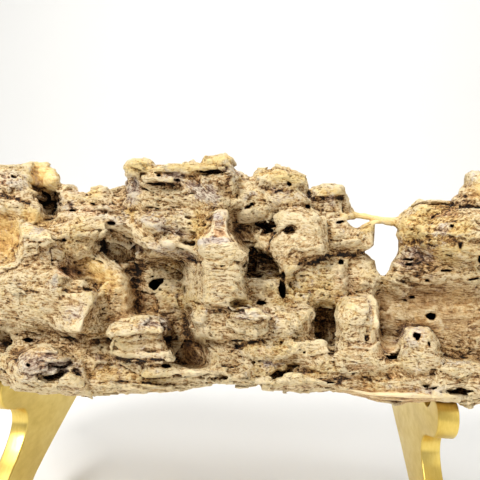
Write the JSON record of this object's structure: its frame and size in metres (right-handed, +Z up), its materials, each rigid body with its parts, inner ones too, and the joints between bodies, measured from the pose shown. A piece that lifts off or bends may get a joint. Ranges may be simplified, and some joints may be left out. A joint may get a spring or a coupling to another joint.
{
  "type": "agarwood display piece on stand",
  "caption": "Long weathered block of agarwood, eaten into hollows, pillars and a see-through window, resting on the ledges of a gold easel stand.",
  "frame": {"origin": "on the table, under the middle of the whole piece", "axes": "+Z up, +X to the right when the show face is looked at, -Y towards the viewer of the show face"},
  "size_m": [0.3712, 0.1333, 0.2134],
  "materials": {
    "agarwood": "dry, weathered, unpolished",
    "gold": "satin gold"
  },
  "bodies": {
    "root": {"agarwood": "agarwood", "stand_side_left": "gold", "stand_side_right": "gold", "stand_rod_lower": "gold", "stand_rod_upper": "gold"}
  },
  "joints": []
}
